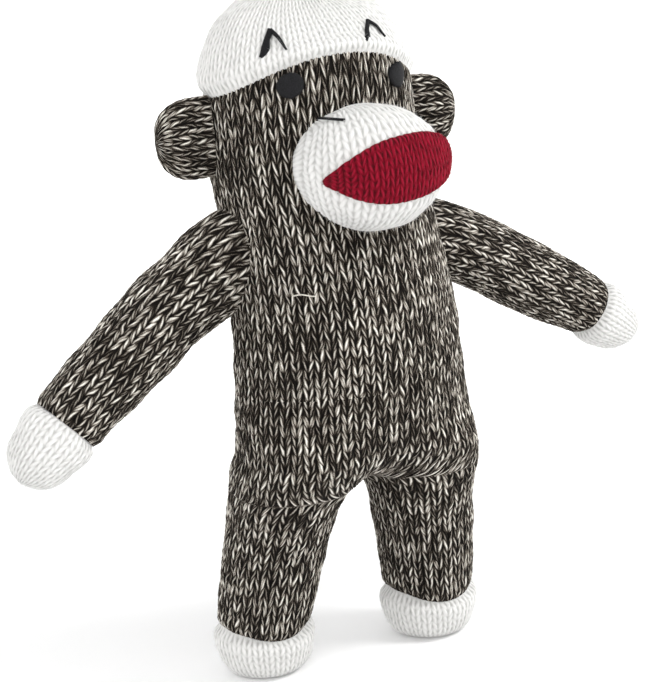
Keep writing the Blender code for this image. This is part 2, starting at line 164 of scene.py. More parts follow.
def fract(a): return a.math("FRACT") if isinstance(a, Wire) else a - np.floor(a)
def floor(a): return a.math("FLOOR") if isinstance(a, Wire) else np.floor(a)
def size_of(a): return a.math("ABSOLUTE") if isinstance(a, Wire) else np.abs(a)
def sine(a): return a.math("SINE") if isinstance(a, Wire) else np.sin(a)
def more(a, b): return a.math("GREATER_THAN", b) if isinstance(a, Wire) else (a > b) * 1.0
def unit(a): return a.math("ADD", 0.0, clamp=True) if isinstance(a, Wire) else np.clip(a, 0, 1)


def stitch(u, v):
    """One stitch at wale u and course v: height, place across and along the yarn, side and course."""
    half = fract(u) - 0.5
    s = size_of(half) * 2
    inside = fract(v)
    best, across, along, course = None, None, None, None
    for m in (-1, 0, 1):
        there = inside - (m + 0.5)
        d = (s - (0.5 - LEAN * there)) / 0.42
        t = there / 0.86
        h = unit(1 - d * d) * unit(1 - t * t)
        row = floor(v) + m
        if best is None:
            best, across, along, course = h, d, t, row
        else:
            win = more(h, best)
            best, across = best + win * (h - best), across + win * (d - across)
            along, course = along + win * (t - along), course + win * (row - course)
    return best, across, along, floor(u * 2), course


# ---------------------------------------------------------------- materials
def new_material(name):
    made = bpy.data.materials.new(name)
    made.use_nodes = True
    made.node_tree.nodes.clear()
    tree = made.node_tree
    out = tree.nodes.new("ShaderNodeOutputMaterial")
    shader = tree.nodes.new("ShaderNodeBsdfPrincipled")
    tree.links.new(shader.outputs[0], out.inputs[0])
    return made, tree, shader


def noise(tree, vector, scale, detail=2.0, rough=0.5):
    node = tree.nodes.new("ShaderNodeTexNoise")
    node.inputs["Scale"].default_value = scale
    node.inputs["Detail"].default_value = detail
    node.inputs["Roughness"].default_value = rough
    tree.links.new(vector, node.inputs["Vector"])
    return Wire(tree, node.outputs["Fac"])


def random_of(tree, a, b, seed):
    pack = tree.nodes.new("ShaderNodeCombineXYZ")
    tree.links.new(a.socket, pack.inputs[0])
    tree.links.new(b.socket, pack.inputs[1])
    pack.inputs[2].default_value = seed
    node = tree.nodes.new("ShaderNodeTexWhiteNoise")
    node.noise_dimensions = "3D"
    tree.links.new(pack.outputs[0], node.inputs["Vector"])
    return Wire(tree, node.outputs["Value"])


def ramp(tree, wire, stops):
    node = tree.nodes.new("ShaderNodeValToRGB")
    node.color_ramp.interpolation = "EASE"
    while len(node.color_ramp.elements) < len(stops):
        node.color_ramp.elements.new(0.5)
    for element, (place, colour) in zip(node.color_ramp.elements, stops):
        element.position, element.color = place, (*colour, 1)
    tree.links.new(wire.socket, node.inputs["Fac"])
    return node.outputs["Color"]


def bump(tree, shader, wire, distance, strength=1.0):
    node = tree.nodes.new("ShaderNodeBump")
    node.inputs["Distance"].default_value = distance
    node.inputs["Strength"].default_value = strength
    tree.links.new(wire.socket, node.inputs["Height"])
    tree.links.new(node.outputs["Normal"], shader.inputs["Normal"])


def stitch_uv(tree, wobble):
    """The wale and course at a point, with the small unevenness of a hand-fed knit."""
    layer = tree.nodes.new("ShaderNodeUVMap")
    layer.uv_map = "stitch"
    split = tree.nodes.new("ShaderNodeSeparateXYZ")
    tree.links.new(layer.outputs[0], split.inputs[0])
    u, v = Wire(tree, split.outputs[0]), Wire(tree, split.outputs[1])
    drift = noise(tree, layer.outputs[0], 0.9, 1.0)
    drift_up = noise(tree, layer.outputs[0], 1.3, 1.0)
    return layer.outputs[0], u + (drift - 0.5) * wobble, v + (drift_up - 0.5) * wobble


def knit_material(name, stops, ply, roughness, sheen, tint, mottle, relief, marl):
    """A knit with painted shade: its colour darkens where the stitch is low, between the stitches, and a
    plain yarn's colour carries painted light and shade along its twist. A marl twists a pale ply with a dark
    one.
    """
    made, tree, shader = new_material(name)
    uv, u, v = stitch_uv(tree, 0.30)
    height, across, along, leg, course = stitch(u, v)
    phase = random_of(tree, leg, course, 1.7)
    choice = random_of(tree, leg, course, 5.3)
    strand = sine((across * 1.5 + along * 0.55) * pi + phase * 6.283) * 0.5 + 0.5
    stretched = tree.nodes.new("ShaderNodeCombineXYZ")
    for socket, part in zip(stretched.inputs, (u * 34.0, v * 9.0)):
        tree.links.new(part.socket, socket)
    fibre = noise(tree, stretched.outputs[0], 1.0, 3.0, 0.65)
    patchy = noise(tree, uv, 0.45, 2.0)
    if marl:
        value = strand * 0.42 + choice * 0.44 + (fibre - 0.5) * 1.0 + (patchy - 0.5) * mottle + 0.02
        # Painted shade: the marl's colour darkens where the stitch is low, between the stitches
        value = value * (height * 1.15 + 0.10)
    else:
        # Painted shade: a plain yarn's colour greys where the stitch is low, between the stitches, and the
        # strand term paints light and shade along its twist
        value = 0.34 + height * 0.66 + (fibre - 0.5) * 0.34 + (patchy - 0.5) * mottle + (strand - 0.5) * ply
    tree.links.new(ramp(tree, unit(value), stops), shader.inputs["Base Color"])
    shader.inputs["Roughness"].default_value = roughness
    shader.inputs["Specular IOR Level"].default_value = 0.08
    shader.inputs["Sheen Weight"].default_value = sheen
    shader.inputs["Sheen Roughness"].default_value = 0.55
    shader.inputs["Sheen Tint"].default_value = (*tint, 1)
    bump(tree, shader, strand * 0.5 + fibre * 0.7 + height * 0.6, relief)
    return made


# Each ramp's dark stops take the painted shade between the stitches. In the brown marl they also take the
# dark ply's own colour, and in the plain yarns the fibres' random tone.
BROWN = knit_material(
    "brown_marl_knit",
    [(0.0, (0.0025, 0.002, 0.0016)), (0.22, (0.010, 0.008, 0.006)), (0.40, (0.075, 0.062, 0.050)),
     (0.60, (0.36, 0.33, 0.285)), (1.0, (0.86, 0.83, 0.77))],
    0.0, 0.95, 0.02, (0.8, 0.74, 0.68), 0.35, 0.00030, True)
WHITE = knit_material(
    "white_knit",
    [(0.0, (0.24, 0.235, 0.225)), (0.42, (0.50, 0.495, 0.48)), (0.75, (0.68, 0.675, 0.66)),
     (1.0, (0.76, 0.755, 0.74))],
    0.05, 0.95, 0.30, (1.0, 1.0, 1.0), 0.06, 0.00022, False)
RED = knit_material(
    "red_knit",
    [(0.0, (0.030, 0.001, 0.004)), (0.4, (0.075, 0.002, 0.006)), (0.75, (0.19, 0.003, 0.014)),
     (1.0, (0.30, 0.008, 0.026))],
    0.22, 0.9, 0.04, (1.0, 0.5, 0.5), 0.35, 0.00030, False)


def thread_material(name, dark, light, roughness, sheen):
    """Embroidery or sewing thread: fine twisted fibres, slightly glossy."""
    made, tree, shader = new_material(name)
    place = tree.nodes.new("ShaderNodeTexCoord").outputs["Object"]
    grain = noise(tree, place, 2600.0, 3.0, 0.6)
    tree.links.new(ramp(tree, grain, [(0.3, dark), (0.75, light)]), shader.inputs["Base Color"])
    shader.inputs["Roughness"].default_value = roughness
    shader.inputs["Specular IOR Level"].default_value = 0.22
    shader.inputs["Sheen Weight"].default_value = sheen
    shader.inputs["Sheen Roughness"].default_value = 0.4
    bump(tree, shader, grain, 0.00010, 0.6)
    return made


BLACK = thread_material("black_thread", (0.002, 0.002, 0.0025), (0.011, 0.011, 0.013), 0.7, 0.0)
CREAM = thread_material("cream_thread", (0.50, 0.46, 0.40), (0.80, 0.77, 0.70), 0.8, 0.3)


FLUFF = thread_material("white_fluff", (0.62, 0.615, 0.60), (0.80, 0.795, 0.78), 0.95, 0.0)
RED_FLUFF = thread_material("red_fluff", (0.12, 0.002, 0.009), (0.34, 0.010, 0.028), 0.95, 0.0)


# ---------------------------------------------------------------- grids into meshes
def grid_normals(points, closed):
    """Outward normals of a grid of (rows, columns, 3) points."""
    if closed:
        wide = np.concatenate([points[:, -2:-1], points, points[:, 1:2]], axis=1)
        across = wide[:, 2:] - wide[:, :-2]
    else:
        across = np.gradient(points, axis=1)
    up = np.gradient(points, axis=0)
    normal = np.cross(across, up)
    return normal / np.maximum(np.linalg.norm(normal, axis=-1, keepdims=True), 1e-12)


def outward(rings):
    """Normals of closed rings, pointing away from the rings' own middles."""
    normals = grid_normals(rings, True)
    return normals * np.sign(((rings - rings.mean(axis=1, keepdims=True)) * normals).sum())


def link(name, mesh, material):
    """Gives a mesh its material and puts it into the scene."""
    mesh.materials.append(material)
    mesh.update()
    made = bpy.data.objects.new(name, mesh)
    bpy.context.scene.collection.objects.link(made)
    return made


def mesh_of(name, where, loops, starts):
    """A mesh from its points, the point of each corner, and where each face starts."""
    mesh = bpy.data.meshes.new(name)
    mesh.vertices.add(len(where))
    mesh.vertices.foreach_set("co", where.astype(np.float32).reshape(-1))
    mesh.loops.add(len(loops))
    mesh.loops.foreach_set("vertex_index", loops.astype(np.int32))
    mesh.polygons.add(len(starts))
    mesh.polygons.foreach_set("loop_start", starts.astype(np.int32))
    mesh.update(calc_edges=True)
    return mesh


def add_mesh(name, points, normals, u, v, material, weld=None, cap=False):
    """Makes a mesh from a grid whose faces look along normals. weld says which rows are closed rings."""
    if (grid_normals(points, False) * normals).sum() < 0:
        points, u = points[:, ::-1], u[::-1]
    rows, columns = points.shape[:2]
    index = np.arange(rows * columns).reshape(rows, columns)
    if weld is not None:
        index[weld, -1] = index[weld, 0]
    a, b, c, d = index[:-1, :-1], index[:-1, 1:], index[1:, 1:], index[1:, :-1]
    quads = np.stack([a, b, c, d], axis=-1).reshape(-1, 4)
    iu, iv = np.meshgrid(u, v)
    flat_u, flat_v = iu.reshape(-1), iv.reshape(-1)
    own = np.arange(rows * columns).reshape(rows, columns)
    corner = np.stack([own[:-1, :-1], own[:-1, 1:], own[1:, 1:], own[1:, :-1]], axis=-1).reshape(-1, 4)
    used, packed = np.unique(quads, return_inverse=True)
    where = points.reshape(-1, 3)[used] + AXIS
    loops, corner = packed.reshape(-1), corner.reshape(-1)
    coords = np.stack([flat_u[corner], flat_v[corner]], axis=1)
    starts = np.arange(len(quads)) * 4
    if cap:
        ring = np.searchsorted(used, np.array(list(dict.fromkeys(index[-1].tolist()))))
        where = np.vstack([where, where[ring].mean(axis=0)])
        fan = np.stack([ring, np.roll(ring, -1), np.full(len(ring), len(where) - 1)], axis=1)
        there = flat_u[:len(ring)]
        fan_u = np.stack([there, there + 1 / ACROSS, there], axis=1).reshape(-1)
        fan_v = flat_v[-1] + np.tile([0, 0, 1 / UP], len(ring))
        starts = np.concatenate([starts, len(loops) + np.arange(len(ring)) * 3])
        loops = np.concatenate([loops, fan.reshape(-1)])
        coords = np.vstack([coords, np.stack([fan_u, fan_v], axis=1)])
    mesh = mesh_of(name, where, loops, starts)
    layer = mesh.uv_layers.new(name="stitch")
    layer.data.foreach_set("uv", coords.astype(np.float32).reshape(-1))
    mesh.polygons.foreach_set("use_smooth", np.ones(len(starts), bool))
    return link(name, mesh, material)


def knit(points, normals, u, v, relief, fade=None):
    """Raises the stitches on a grid, with the filling's lumps under them."""
    iu, iv = np.meshgrid(u, v)
    height = stitch(iu, iv)[0]
    raised = relief * (height - 0.55) + lumps(points)
    if fade is not None:
        raised = raised * fade
    return points + normals * raised[..., None]


def resample(line, count):
    """Spaces count + 1 points evenly along a polyline."""
    gone = np.concatenate([[0], np.cumsum(np.linalg.norm(np.diff(line, axis=0), axis=1))])
    at = np.linspace(0, gone[-1], count + 1)
    return np.stack([np.interp(at, gone, line[:, k]) for k in range(3)], axis=1)


def regrid(dense, columns, course=COURSE):
    """Spaces a stack of rings evenly round and along. Returns the grid and its courses."""
    rings = np.array([resample(ring, columns) for ring in dense])
    step = np.linalg.norm(np.diff(rings, axis=0), axis=2).mean(axis=1)
    gone = np.concatenate([[0], np.cumsum(step)])
    rows = max(int(round(gone[-1] / course * UP)), 4)
    at = np.linspace(0, gone[-1], rows + 1)
    flat = rings.reshape(len(rings), -1)
    out = np.stack([np.interp(at, gone, flat[:, k]) for k in range(flat.shape[1])], axis=1)
    return out.reshape(rows + 1, columns + 1, 3), np.arange(rows + 1) / UP


fibre_rng = np.random.default_rng(5)


def fuzz(name, points, normals, count, material, body):
    """Loose fibres that stand out of a brushed knit: short bent hairs of three sides."""
    flat_p, flat_n = points.reshape(-1, 3), normals.reshape(-1, 3)
    pick = fibre_rng.integers(0, len(flat_p), count)
    root, way = flat_p[pick], flat_n[pick] + fibre_rng.normal(0, 0.55, (count, 3))
    way /= np.linalg.norm(way, axis=1, keepdims=True)
    curl = np.cross(way, fibre_rng.normal(size=(count, 3)))
    curl /= np.linalg.norm(curl, axis=1, keepdims=True)
    side = np.cross(way, curl)
    length = fibre_rng.uniform(0.0006, 0.0017, count)[:, None]
    steps, corners = 4, 3
    verts = []
    for i in range(steps):
        t = i / (steps - 1)
        centre = root + way * length * t * (1 - 0.3 * t) + curl * length * 0.55 * t * t - way * 0.0002
        thin = FIBRE_RADIUS * (1 - 0.6 * t)
        for k in range(corners):
            angle = 2 * pi * k / corners
            verts.append(centre + thin * (cos(angle) * curl + sin(angle) * side))
    verts = np.stack(verts, axis=1) + AXIS
    local = []
    for i in range(steps - 1):
        for k in range(corners):
            n = (k + 1) % corners
            local.append([i * 3 + k, i * 3 + n, i * 3 + 3 + n, i * 3 + 3 + k])
    quads = (np.array(local)[None] + np.arange(count)[:, None, None] * steps * corners).reshape(-1, 4)
    ends = np.array([[2, 1, 0], [9, 10, 11]])
    ends = (ends[None] + np.arange(count)[:, None, None] * steps * corners).reshape(-1, 3)
    loops = np.concatenate([quads.reshape(-1), ends.reshape(-1)])
    starts = np.concatenate([np.arange(len(quads)) * 4, len(quads) * 4 + np.arange(len(ends)) * 3])
    made = link(name, mesh_of(name, verts.reshape(-1, 3), loops, starts), material)
    finish_piece(made, [], body=body)


def finish_piece(made, nodes, body=None, bend=None):
    """Hides the parts a piece replaces and sets it to move with one body; a piece given a bend only has its
    placement baked into its points.
    """
    if nodes:
        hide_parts(*nodes)
    if bend:
        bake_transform(made)
    else:
        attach(made, body)


# ---------------------------------------------------------------- the body and the legs, one soft surface
def leg_centre(side, z):
    """The middle of a leg at height z, on its slant from the hip to the foot."""
    share = np.clip((HIP_Z - z) / (HIP_Z - ANKLE_Z), 0, 1)
    x = LEG_TOP_X[side] + (FOOT_X[side] - LEG_TOP_X[side]) * share ** 0.7
    return side * x, HIP_Y + (FOOT_Y[side] - HIP_Y) * share


def melt(a, b, radius):
    """Joins two shapes with a soft valley."""
    near = np.maximum(radius - np.abs(a - b), 0) / radius
    return np.minimum(a, b) - near * near * radius / 4


def body_field(x, y, z):
    """Below zero inside the body and the legs: two legs that turn gradually into one body."""
    legs = []
    half = curve(LEG, z)
    fullness = 2 + 0.35 * np.clip((z - 0.050) / 0.030, 0, 1)
    for side in (1, -1):
        cx, cy = leg_centre(side, z)
        oval = np.abs((x - cx) / half[..., 0]) ** fullness + np.abs((y - cy) / half[..., 1]) ** fullness
        legs.append((oval ** (1 / fullness) - 1) * np.minimum(half[..., 0], half[..., 1]))
    half = curve(TRUNK, z)
    trunk = np.sqrt((x / half[..., 0]) ** 2 + ((y - half[..., 2]) / half[..., 1]) ** 2) - 1
    trunk = trunk * np.minimum(half[..., 0], half[..., 1])
    share = np.clip((z - CROTCH_LOW) / (WAIST - CROTCH_LOW), 0, 1)
    share = share * share * (3 - 2 * share)
    return (1 - share) * melt(*legs, 0.014) + share * trunk


def body_normals(points, levels):
    """The field's slope, which is the same on both sides of every join."""
    step, slope = 0.0002, []
    x, y, z = points[..., 0], points[..., 1], np.asarray(levels)[:, None]
    for dx, dy, dz in np.eye(3) * step:
        slope.append(body_field(x + dx, y + dy, z + dz) - body_field(x - dx, y - dy, z - dz))
    slope = np.stack(slope, axis=-1)
    return slope / np.maximum(np.linalg.norm(slope, axis=-1, keepdims=True), 1e-12)


def half_rings(side, levels, columns):
    """One side's outline at each level, from the front's middle to the back's, or a whole leg's."""
    turn = np.linspace(0, 2 * pi, RAYS, endpoint=False)
    way_x, way_y = -side * np.cos(turn), -np.sin(turn)
    levels = np.asarray(levels)
    cx, cy = leg_centre(side, levels)
    high = np.clip((levels - 0.095) / 0.03, 0, 1)
    cy = cy * (1 - high) + curve(TRUNK, levels)[..., 2] * high
    z = levels[:, None]
    inward = np.maximum(way_x * -side, 1e-9)
    reach = np.minimum(np.where(way_x * side < -1e-9, np.abs(cx)[:, None] / inward, 0.09), 0.09)
    near, far = np.zeros_like(reach), reach.copy()
    clamped = body_field(cx[:, None] + way_x * far, cy[:, None] + way_y * far, z) < 0
    for _ in range(24):
        middle = (near + far) / 2
        inside = body_field(cx[:, None] + way_x * middle, cy[:, None] + way_y * middle, z) < 0
        near, far = np.where(inside, middle, near), np.where(inside, far, middle)
    far = np.where(clamped, reach, far)
    outline = np.stack([cx[:, None] + way_x * far, cy[:, None] + way_y * far, z + 0 * far], axis=-1)
    rings, closed = [], []
    for row, level in enumerate(levels):
        shut = clamped[row]
        if not shut.any():
            loop = np.vstack([outline[row], outline[row][:1]])
            closed.append(True)
        else:
            centre = np.angle(np.exp(1j * turn[shut]).mean())
            order = np.roll(np.arange(RAYS), -int(round(centre / (2 * pi) * RAYS)))
            open_part = outline[row][order][~shut[order]]
            ends = []
            for way in (-1, 1):
                low, top = outline[row][shut][:, 1].mean(), outline[row][shut][:, 1].mean() + way * 0.08
                for _ in range(40):
                    middle = (low + top) / 2
                    if body_field(np.array(0.0), np.array(middle), np.array(level)) < 0:
                        low = middle
                    else:
                        top = middle
                ends.append([0.0, top, level])
            loop = np.vstack([ends[:1], open_part, ends[1:]])
            closed.append(False)
        rings.append(resample(loop, columns))
    return np.array(rings), np.array(closed)


def levels_between(low, high):
    """Grid levels on a shared ladder, so that neighbouring pieces meet row for row."""
    count = int(round((high - low) / (COURSE / UP)))
    return np.linspace(low, high, count + 1)


def course_at(z):
    return (z - ANKLE_Z) / COURSE


def full_rings(levels):
    left = half_rings(1, levels, HALF * ACROSS)[0]
    right = half_rings(-1, levels, HALF * ACROSS)[0]
    return np.concatenate([left, right[:, ::-1][:, 1:]], axis=1)


def tuck(points, normals, v):
    """Adds a first row that runs back under the neighbouring skin, so that no gap shows at the seam."""
    along = points[1] - points[0]
    along /= np.maximum(np.linalg.norm(along, axis=-1, keepdims=True), 1e-9)
    under = points[0] - normals[0] * 0.0012 - along * 0.0016
    v = np.concatenate([[v[0] - 0.4], v])
    return np.vstack([under[None], points]), np.vstack([normals[:1], normals]), v


def seam_dip(distance):
    """The narrow valley that a sewn seam pulls into the knit."""
    return -SEAM_DEPTH * np.exp(-(distance / SEAM_WIDTH) ** 2)


whole_u = np.arange(WALES * ACROSS + 1) / ACROSS
half_u = np.arange(HALF * ACROSS + 1) / ACROSS

levels = levels_between(WAIST, NECK)
rings = full_rings(levels)
normals = body_normals(rings, levels)
points = knit(rings, normals, whole_u, course_at(levels), BROWN_RELIEF)
torso_skin = add_mesh("torso_skin", points, normals, whole_u, course_at(levels), BROWN,
                      weld=np.ones(len(levels), bool))
finish_piece(torso_skin, ["torso_cover", "torso_stuffing"], body="torso")

levels = levels_between(NECK, BRIM_Z)
rings = full_rings(levels)
normals = body_normals(rings, levels)
rise = np.clip((levels - ARCH_START) / (BRIM_Z - ARCH_START), 0, 1) ** 1.5 * BRIM_ARCH
half = curve(TRUNK, levels)
sideways = ((rings[..., 1] - half[:, None, 2]) / half[:, None, 1]) ** 2
rings[..., 2] += rise[:, None] * np.clip(sideways, 0, 1)
points = knit(rings, normals, whole_u, course_at(levels), BROWN_RELIEF)
points += normals * seam_dip(BRIM_Z - levels)[:, None, None]
head_skin = add_mesh("head_skin", points, normals, whole_u, course_at(levels), BROWN,
                     weld=np.ones(len(levels), bool))
neck_y = AXIS[1] + NECK_BEND_Y
finish_piece(head_skin, ["head_cover", "head_stuffing"],
             bend=("torso", "head", (AXIS[0], neck_y, NECK), (AXIS[0], neck_y, NECK_BEND_TOP)))


def ellipse(centre, half_a, half_b, way_a, way_b):
    turn = np.linspace(0, 2 * pi, OUTLINE + 1)
    return centre + (half_a * np.cos(turn))[:, None] * way_a + (half_b * np.sin(turn))[:, None] * way_b


def crown_size(share):
    """The crown's half width and half depth at a share of its height."""
    wide = (TRUNK[-1, 1] + CROWN_FLARE) * (1 - share ** 2.6) ** (1 / 2.2)
    deep = (TRUNK[-1, 2] + CROWN_FLARE) * (1 - share ** 1.5) ** CROWN_SLOPE
    return wide, deep


# The crown's edge starts at the front's middle and goes to the toy's left, as the head's columns do
dense = []
for share in 1 - (1 - np.linspace(0, 1, 60)) ** 1.6:
    share = min(share, 0.9985)
    wide, deep = crown_size(share)
    ring = ellipse(Z * (BRIM_Z + (HEIGHT - BRIM_Z) * share), deep, wide, -Y, X)
    facing = np.clip((ring[:, 1] / max(deep, 1e-6)) ** 2, 0, 1)
    ring[:, 2] += BRIM_ARCH * (1 - share) ** 1.5 * facing
    dense.append(ring)
rings, v = regrid(np.array(dense), WALES * ACROSS, WHITE_COURSE)
normals = outward(rings)
below = np.arange(len(rings)) * WHITE_COURSE / UP
fade = np.clip((len(rings) - 1 - np.arange(len(rings))) / 12, 0, 1)[:, None]
points = knit(rings, normals, whole_u, v, WHITE_RELIEF, fade)
points += normals * (seam_dip(below) + 0.0009 * np.exp(-((below - 0.004) / 0.003) ** 2))[:, None, None]
points, normals, v = tuck(points, normals, v)
cap_skin = add_mesh("cap_skin", points, normals, whole_u, v, WHITE, weld=np.ones(len(v), bool), cap=True)
finish_piece(cap_skin, ["cap"], body="head")
fuzz("cap_fuzz", points, normals, 6000, FLUFF, "head")


# ---------------------------------------------------------------- legs and feet
def ankle_drop(side, rings):
    """How far a ring's front and back run down towards the toes, as the ankle seam does."""
    cy = leg_centre(side, ANKLE_Z)[1]
    return np.clip(np.abs(rings[..., 1] - cy) / LEG[0, 2], 0, 1) ** 2


for side, name in ((1, "left"), (-1, "right")):
    levels = levels_between(ANKLE_Z, WAIST)
    rings, closed = half_rings(side, levels, HALF * ACROSS)
    normals = body_normals(rings, levels)
    lower = np.clip((0.045 - levels) / (0.045 - ANKLE_Z), 0, 1)
    rings[..., 2] -= (SEAM_BULGE * lower)[:, None] * ankle_drop(side, rings)
    points = knit(rings, normals, half_u, course_at(levels), BROWN_RELIEF)
    points += normals * seam_dip(levels - ANKLE_Z)[:, None, None]
    skin = add_mesh(f"leg_{name}_skin", points, normals, half_u, course_at(levels), BROWN, weld=closed)
    start = np.array([AXIS[0], AXIS[1] + HIP_Y, HIP_BEND_Z])
    end = start + HIP_BEND_LENGTH * np.array([side * cos(HIP_BEND_ANGLE), 0, -sin(HIP_BEND_ANGLE)])
    finish_piece(skin, [f"leg_{name}_cover", f"leg_{name}_stuffing"],
                 bend=("torso", f"leg_{name}", tuple(start), tuple(end)))

    edge = half_rings(side, np.array([ANKLE_Z]), HALF * ACROSS)[0][0]
    cx, cy = leg_centre(side, ANKLE_Z)
    drop = ankle_drop(side, edge)
    dense = []
    table = np.array([(k / (len(FOOT) - 1), *row) for k, row in enumerate(FOOT)])
    for share, wide in curve(table, np.linspace(0, 1, 50)):
        share, wide = max(share, 0.0), max(wide, 0.02)
        ring = np.array([cx, cy, 0]) + (edge - np.array([cx, cy, ANKLE_Z])) * np.array([wide, wide, 0])
        ring[:, 2] = ANKLE_Z * share - SEAM_BULGE * drop * share ** 2
        dense.append(ring)
    rings, v = regrid(np.array(dense), HALF * ACROSS, WHITE_COURSE)
    normals = outward(rings)
    off_floor = np.clip(rings[..., 2] / 0.003, 0, 1)
    below = np.arange(len(rings)) * WHITE_COURSE / UP
    points = knit(rings, normals, half_u, v, WHITE_RELIEF, off_floor)
    points += normals * ((seam_dip(below) + 0.0008 * np.exp(-((below - 0.004) / 0.003) ** 2))[:, None, None])
    points[..., 2] = np.maximum(points[..., 2], 0.0)
    points, normals, v = tuck(points, normals, v)
    skin = add_mesh(f"foot_{name}_skin", points, normals, half_u, v, WHITE,
                    weld=np.ones(len(v), bool), cap=True)
    finish_piece(skin, [f"foot_{name}_cover"], body=f"leg_{name}")
    high = rings.shape[0] // 2
    fuzz(f"foot_{name}_fuzz", points[1:high], normals[1:high], 1500, FLUFF, f"leg_{name}")


# ---------------------------------------------------------------- arms and hands
def limb(spine, halves):
    """Rings across a bent spine. halves gives each ring's half height and half depth."""
    along = np.gradient(spine, axis=0)
    along /= np.linalg.norm(along, axis=1, keepdims=True)
    rings = []
    for place, way, (tall, deep) in zip(spine, along, halves):
        upward = np.cross(Y, way)
        upward *= np.sign(upward[2]) / np.linalg.norm(upward)
        rings.append(ellipse(place, tall, deep, upward, -Y * np.sign(way[0])))
    return np.array(rings)


ARM_WALES = 20
arm_u = np.arange(ARM_WALES * ACROSS + 1) / ACROSS
for side, name in ((1, "left"), (-1, "right")):
    shoulder, full = SHOULDER[side], ARM_FULLNESS[side]
    along = np.array([side * cos(DROOP[side]), 0, -sin(DROOP[side])])
    start = np.array([side * 0.030, shoulder[1], shoulder[2] - 0.001])
    bend = np.array([side * 0.043, shoulder[1], shoulder[2] + 0.0015])
    join = shoulder + along * 0.020
    t = np.linspace(0, 1, 40)[:, None]
    spine = (1 - t) ** 2 * start + 2 * t * (1 - t) * bend + t ** 2 * join
    straight = np.linspace(0.020, WRIST, 40)[1:, None]
    spine = np.vstack([spine, shoulder + along * straight])
    radius = np.interp(np.linspace(0.012, WRIST, 60), [0.012, 0.035, 0.055, WRIST],
                       [0.0142, 0.0141, 0.0134, 0.0125]) * full
    spine[:, 2] -= ARM_SAG * np.sin(np.linspace(0, pi, len(spine))) ** 2
    gone = np.concatenate([[0], np.cumsum(np.linalg.norm(np.diff(spine, axis=0), axis=1))])
    blend_in = np.clip(gone / 0.030, 0, 1)
    blend_in = blend_in * blend_in * (3 - 2 * blend_in)
    arm_radius = np.interp(gone, np.linspace(0.030, gone[-1], 60), radius)
    tall = ROOT_HALF_HEIGHT[side] * (1 - blend_in) + arm_radius * blend_in
    deep = 0.0150 * (1 - blend_in) + arm_radius * blend_in
    rings, v = regrid(limb(spine, np.stack([tall, deep], axis=1)), ARM_WALES * ACROSS)
    normals = outward(rings)
    from_wrist = (len(rings) - 1 - np.arange(len(rings))) * COURSE / UP
    points = knit(rings, normals, arm_u, v, BROWN_RELIEF)
    points += normals * seam_dip(from_wrist)[:, None, None]
    skin = add_mesh(f"arm_{name}_skin", points, normals, arm_u, v, BROWN,
                    weld=np.ones(len(rings), bool))
    hinge = shoulder + AXIS
    finish_piece(skin, [f"arm_{name}_sleeve", f"arm_{name}_stuffing"],
                 bend=("torso", f"arm_{name}", tuple(hinge - along * ARM_BEND[0]),
                       tuple(hinge + along * ARM_BEND[1])))

    reach = WRIST + (ARM_REACH - WRIST) * np.sin(np.linspace(0, pi / 2, 40))
    share = (reach - WRIST) / (ARM_REACH - WRIST)
    radius = 0.0125 * full * (1 + 0.07 * np.sin(np.clip(share * 2.2, 0, 1) * pi)) * np.sqrt(
        np.clip(1 - share ** 3.2, 0.0004, 1))
    rings, v = regrid(limb(shoulder + along * reach[:, None], np.stack([radius, radius], axis=1)),
                      ARM_WALES * ACROSS, WHITE_COURSE)
    normals = outward(rings)
    below = np.arange(len(rings)) * WHITE_COURSE / UP
    fade = np.clip((len(rings) - 1 - np.arange(len(rings))) / 10, 0, 1)[:, None]
    points = knit(rings, normals, arm_u, v, WHITE_RELIEF, fade) + normals * seam_dip(below)[:, None, None]
    points, normals, v = tuck(points, normals, v)
    skin = add_mesh(f"hand_{name}_skin", points, normals, arm_u, v, WHITE,
                    weld=np.ones(len(v), bool), cap=True)
    finish_piece(skin, [f"hand_{name}_cover"], body=f"arm_{name}")
    fuzz(f"hand_{name}_fuzz", points, normals, 1500, FLUFF, f"arm_{name}")


# ---------------------------------------------------------------- ears
EAR_WALES = 16
ear_u = np.arange(EAR_WALES * ACROSS + 1) / ACROSS
for side, name in ((1, "left"), (-1, "right")):
    dense = []
    for share in np.linspace(0, 1, 60):
        out = -0.35 + 1.35 * share
        flat = sqrt(max(1 - max(out, 0) ** 2.6, 0.0009))
        thick = 0.75 + 0.25 * sin(min(max(out, 0) * 2.5, 1) * pi / 2)
        centre = EAR_ROOT * np.array([side, 1, 1]) + X * side * EAR_REACH * out
        dense.append(ellipse(centre, EAR_HALF_HEIGHT * flat, EAR_HALF_THICK * flat * thick, Z, -Y * side))
    rings, v = regrid(np.array(dense), EAR_WALES * ACROSS)
    normals = outward(rings)
    fade = np.clip((len(rings) - 1 - np.arange(len(rings))) / 8, 0, 1)[:, None]
    points = knit(rings, normals, ear_u, v, BROWN_RELIEF, fade)
    skin = add_mesh(f"ear_{name}_skin", points, normals, ear_u, v, BROWN,
                    weld=np.ones(len(rings), bool), cap=True)
    hinge = EAR_ROOT * np.array([side, 1, 1]) + AXIS
    finish_piece(skin, [f"ear_{name}_cover", f"ear_{name}_padding"],
                 bend=("head", f"ear_{name}", tuple(hinge - X * side * EAR_BEND[0]),
                       tuple(hinge + X * side * EAR_BEND[1])))


# ---------------------------------------------------------------- the face
def dome_point(x, z, lift=0.0):
    across = (np.abs(x) / (MUZZLE_SIZE[0] + lift)) ** DOME_WIDTH
    across = across + (np.abs(z - MUZZLE_CENTRE[2]) / (MUZZLE_SIZE[2] + lift)) ** DOME_WIDTH
    share = np.clip(1 - across, 0, 1) ** (1 / DOME_DEPTH)
    return np.stack([x, MUZZLE_CENTRE[1] - (MUZZLE_SIZE[1] + lift) * share, z], axis=-1)


